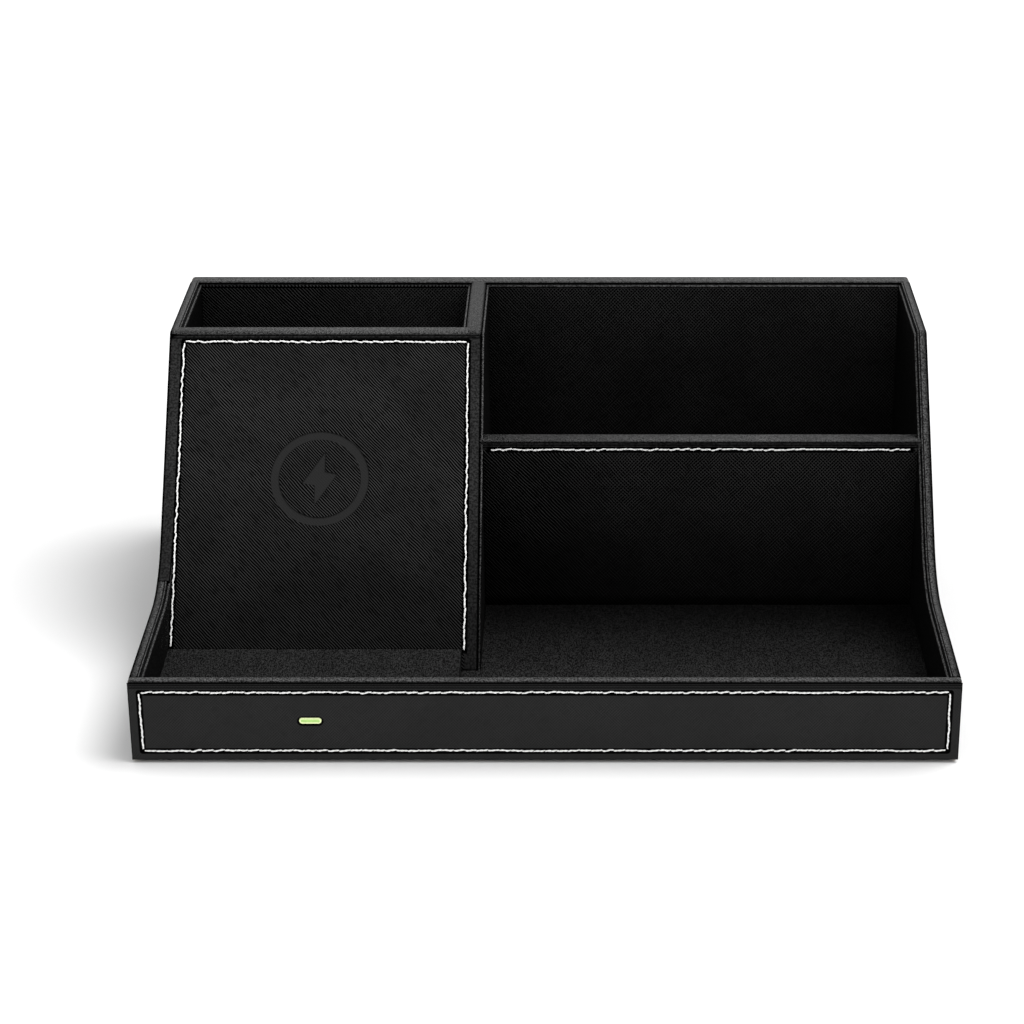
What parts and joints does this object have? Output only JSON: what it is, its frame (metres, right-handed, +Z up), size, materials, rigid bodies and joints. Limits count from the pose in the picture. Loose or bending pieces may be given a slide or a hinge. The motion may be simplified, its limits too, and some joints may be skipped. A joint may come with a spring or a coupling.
{
  "type": "desk organiser with wireless charging stand",
  "caption": "Leather-wrapped desk organiser with a sloping wireless charging rest for a phone, a pen slot, a rear bay and a low front bay.",
  "frame": {"origin": "centre of the footprint on the desk, in the plane that the feet stand on", "axes": "+X along the width, to the right as seen from the front; +Y towards the back; +Z up. The charging face looks towards -Y and up."},
  "size_m": [0.26, 0.1864, 0.0985],
  "materials": {
    "board": "raw medium-density fibreboard",
    "wrap_leather": "pebble-grained black artificial leather",
    "face_leather": "black artificial leather with a fine twill emboss",
    "lining_leather": "matt black padded lining",
    "thread": "white twisted thread",
    "rubber": "matt black",
    "light_pipe": "translucent pale green",
    "circuit_board": "green solder mask",
    "moulded_black": "fine spark-eroded texture",
    "steel": "nickel plated",
    "copper": "enamelled copper wire",
    "ferrite": "sintered ferrite",
    "cable": "matt jacket"
  },
  "bodies": {
    "root": {"base_board": "board", "front_board": "board", "left_side_board": "board", "right_side_board": "board", "back_board": "board", "centre_divider_board": "board", "rear_divider_board": "board", "charging_board": "board", "pen_slot_board": "board", "pen_slot_floor_board": "board", "phone_ledge_board": "board", "front_wrap": "wrap_leather", "left_side_wrap": "wrap_leather", "right_side_wrap": "wrap_leather", "back_wrap": "wrap_leather", "centre_divider_wrap": "wrap_leather", "rear_divider_wrap": "wrap_leather", "pen_slot_wrap": "wrap_leather", "front_face_sheet": "face_leather", "charging_face_sheet": "face_leather", "divider_face_sheet": "face_leather", "front_lining": "lining_leather", "left_side_lining": "lining_leather", "right_side_lining": "lining_leather", "back_lining": "lining_leather", "centre_divider_lining": "lining_leather", "rear_divider_lining": "lining_leather", "pen_slot_lining": "lining_leather", "front_floor_sheet": "lining_leather", "rear_floor_sheet": "lining_leather", "pen_slot_floor_sheet": "lining_leather", "phone_ledge_sheet": "lining_leather", "underside_sheet": "wrap_leather", "rubber_feet": "rubber", "front_stitching": "thread", "charging_stitching": "thread", "divider_stitching": "thread", "led_lens": "light_pipe", "led_board": "circuit_board", "coil_housing": "moulded_black", "housing_cover": "moulded_black", "housing_screws": "steel", "charging_coil": "copper", "ferrite_sheet": "ferrite", "charger_board": "circuit_board", "usb_bezel": "moulded_black", "usb_receptacle": "steel", "usb_board": "circuit_board", "usb_bracket": "moulded_black", "power_cable": "cable", "led_cable": "cable"}
  },
  "joints": []
}
